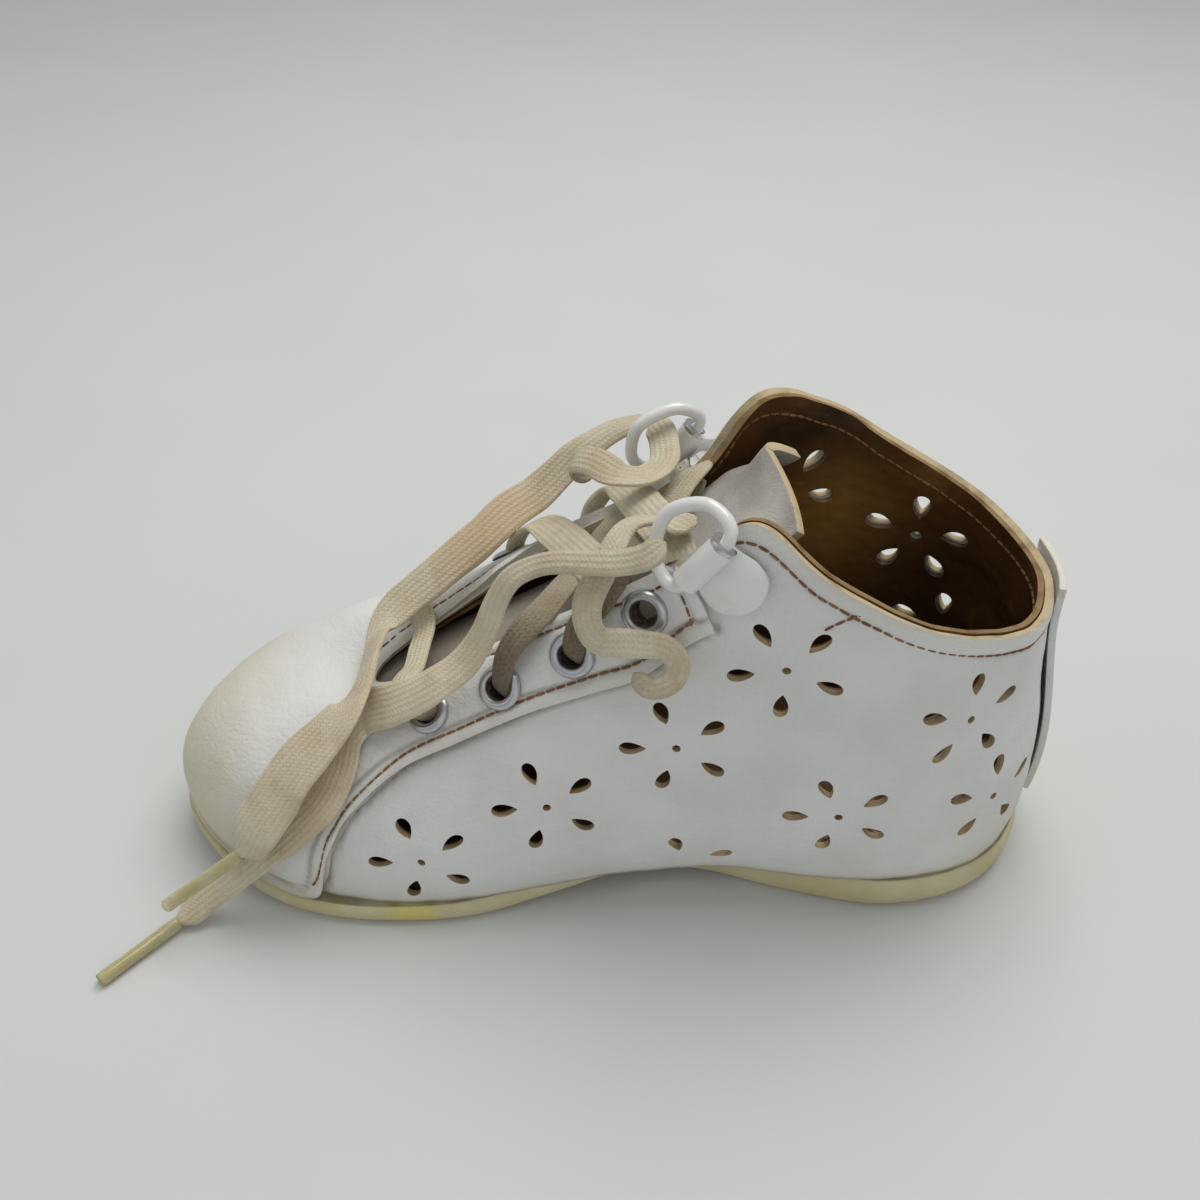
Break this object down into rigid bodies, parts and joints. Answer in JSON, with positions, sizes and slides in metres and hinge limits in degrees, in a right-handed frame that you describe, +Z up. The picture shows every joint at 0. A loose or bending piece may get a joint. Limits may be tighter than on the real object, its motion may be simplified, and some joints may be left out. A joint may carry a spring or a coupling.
{
  "type": "toddler walking shoe",
  "caption": "Worn white leather ankle-high toddler walking shoe, right foot, with punched flowers, open throat, lace rings, slack flat lace and thin yellowed rubber sole.",
  "frame": {"origin": "middle of the sole's footprint box, on the floor", "axes": "toe along -X, heel along +X, inner side of the foot along -Y, +Z up"},
  "size_m": [0.1366, 0.0606, 0.0681],
  "materials": {
    "white_leather": "worn smooth white leather, yellowed at the toe",
    "tongue_leather": "matt grey-white flesh side",
    "sock_leather": "polished dark amber from wear",
    "sole_rubber": "matt yellowed cream",
    "eyelet_aluminium": "rolled, slightly dulled",
    "white_enamel": "glossy white enamel, worn at the edges",
    "lace_cotton": "flat woven cotton, stained",
    "aglet_plastic": "clear plastic gone yellow"
  },
  "bodies": {
    "root": {"outsole": "sole_rubber", "insole": "sock_leather", "upper": "white_leather", "tongue": "tongue_leather", "back_strip": "white_leather", "eyelet_near_1": "eyelet_aluminium", "eyelet_near_2": "eyelet_aluminium", "eyelet_near_3": "eyelet_aluminium", "eyelet_near_4": "eyelet_aluminium", "eyelet_far_1": "eyelet_aluminium", "eyelet_far_2": "eyelet_aluminium", "eyelet_far_3": "eyelet_aluminium", "eyelet_far_4": "eyelet_aluminium", "ring_clip_near": "white_enamel", "ring_near": "white_enamel", "ring_clip_far": "white_enamel", "ring_far": "white_enamel", "lace_bar": "lace_cotton", "lace_crossings": "lace_cotton", "lace_loop_near": "lace_cotton", "lace_loop_far": "lace_cotton", "lace_end_near": "lace_cotton", "lace_end_far": "lace_cotton", "aglet_near": "aglet_plastic", "aglet_far": "aglet_plastic"}
  },
  "joints": []
}
